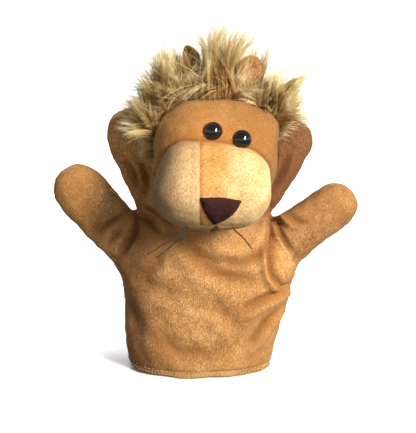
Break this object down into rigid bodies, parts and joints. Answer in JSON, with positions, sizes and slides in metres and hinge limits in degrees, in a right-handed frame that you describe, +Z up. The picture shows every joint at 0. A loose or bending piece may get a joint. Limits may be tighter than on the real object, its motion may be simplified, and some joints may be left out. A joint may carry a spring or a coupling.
{
  "type": "hand puppet",
  "caption": "Lion glove puppet of short-pile plush with flexing finger limbs, a stuffed head on a finger stall, a fur mane, a felt nose and safety eyes.",
  "frame": {"origin": "centre of the hand opening, in the plane of the hem", "axes": "+Z up from the hem to the head, -Y to the front (the face looks there), +X to the viewer's right seen from the front"},
  "size_m": [0.2023, 0.1223, 0.2346],
  "materials": {
    "plush_body": "short-pile velboa plush, golden brown",
    "plush_face": "short-pile plush, orange tan",
    "plush_muzzle_light": "short-pile plush, pale beige",
    "fur_mane": "long-pile faux fur, blond with brown roots",
    "plush_ear_outer": "short-pile plush",
    "plush_ear_inner": "short-pile plush",
    "eye_plastic": "high gloss black",
    "washer_plastic": "moulded white plastic",
    "felt_nose": "dark brown wool felt",
    "thread_black": "black thread",
    "thread_hem": "pale gold polyester thread",
    "stall_lining": "woven polyester lining",
    "stuffing": "polyester fibre fill"
  },
  "bodies": {
    "glove": {"glove_front_panel": "plush_body", "glove_back_panel": "plush_body", "hem_fold_front": "plush_body", "hem_fold_back": "plush_body", "hem_stitching": "thread_hem"},
    "lower_left_limb": {"lower_left_limb_front": "plush_body", "lower_left_limb_back": "plush_body"},
    "lower_right_limb": {"lower_right_limb_front": "plush_body", "lower_right_limb_back": "plush_body"},
    "upper_left_limb": {"upper_left_limb_front": "plush_body", "upper_left_limb_back": "plush_body"},
    "upper_right_limb": {"upper_right_limb_front": "plush_body", "upper_right_limb_back": "plush_body"},
    "neck": {"neck_band": "plush_body", "neck_stitching": "thread_black"},
    "head": {"finger_stall": "stall_lining", "head_stuffing": "stuffing", "forehead_panel": "plush_face", "head_back_panel": "plush_body", "muzzle_gusset": "plush_face", "cheek_panel_left": "plush_muzzle_light", "cheek_panel_right": "plush_muzzle_light", "chin_panel": "plush_muzzle_light", "mane_fur": "fur_mane", "ear_left_outer": "plush_ear_outer", "ear_left_inner": "plush_ear_inner", "ear_right_outer": "plush_ear_outer", "ear_right_inner": "plush_ear_inner", "eye_left": "eye_plastic", "eye_right": "eye_plastic", "eye_washer_left": "washer_plastic", "eye_washer_right": "washer_plastic", "nose_patch": "felt_nose", "mouth_stitch": "thread_black", "whiskers_left": "thread_black", "whiskers_right": "thread_black"}
  },
  "joints": [
    {"name": "lower_left_flex", "type": "hinge", "parent": "glove", "child": "lower_left_limb", "pos_m": [-0.05098, 0, 0.08964], "axis": [0.7431, 0, 0.6691], "range_deg": [-15, 60], "stiffness_Nm_per_rad": 0.06},
    {"name": "lower_right_flex", "type": "hinge", "parent": "glove", "child": "lower_right_limb", "pos_m": [0.05523, 0, 0.08586], "axis": [0.5878, 0, -0.809], "range_deg": [-15, 60], "stiffness_Nm_per_rad": 0.06},
    {"name": "upper_left_flex", "type": "hinge", "parent": "glove", "child": "upper_left_limb", "pos_m": [-0.02744, 0.01, 0.10638], "axis": [0.9336, 0, 0.3584], "range_deg": [-20, 5], "stiffness_Nm_per_rad": 0.06},
    {"name": "upper_right_flex", "type": "hinge", "parent": "glove", "child": "upper_right_limb", "pos_m": [0.03184, 0.01, 0.10422], "axis": [0.848, 0, -0.5299], "range_deg": [-20, 5], "stiffness_Nm_per_rad": 0.06},
    {"name": "head_tilt", "type": "hinge", "parent": "glove", "child": "neck", "pos_m": [0.001, -0.014, 0.11], "axis": [0, 1, 0], "range_deg": [-10, 10], "stiffness_Nm_per_rad": 0.25},
    {"name": "head_nod", "type": "hinge", "parent": "neck", "child": "head", "pos_m": [0.001, -0.014, 0.11], "axis": [1, 0, 0], "range_deg": [-8, 20], "stiffness_Nm_per_rad": 0.25}
  ]
}
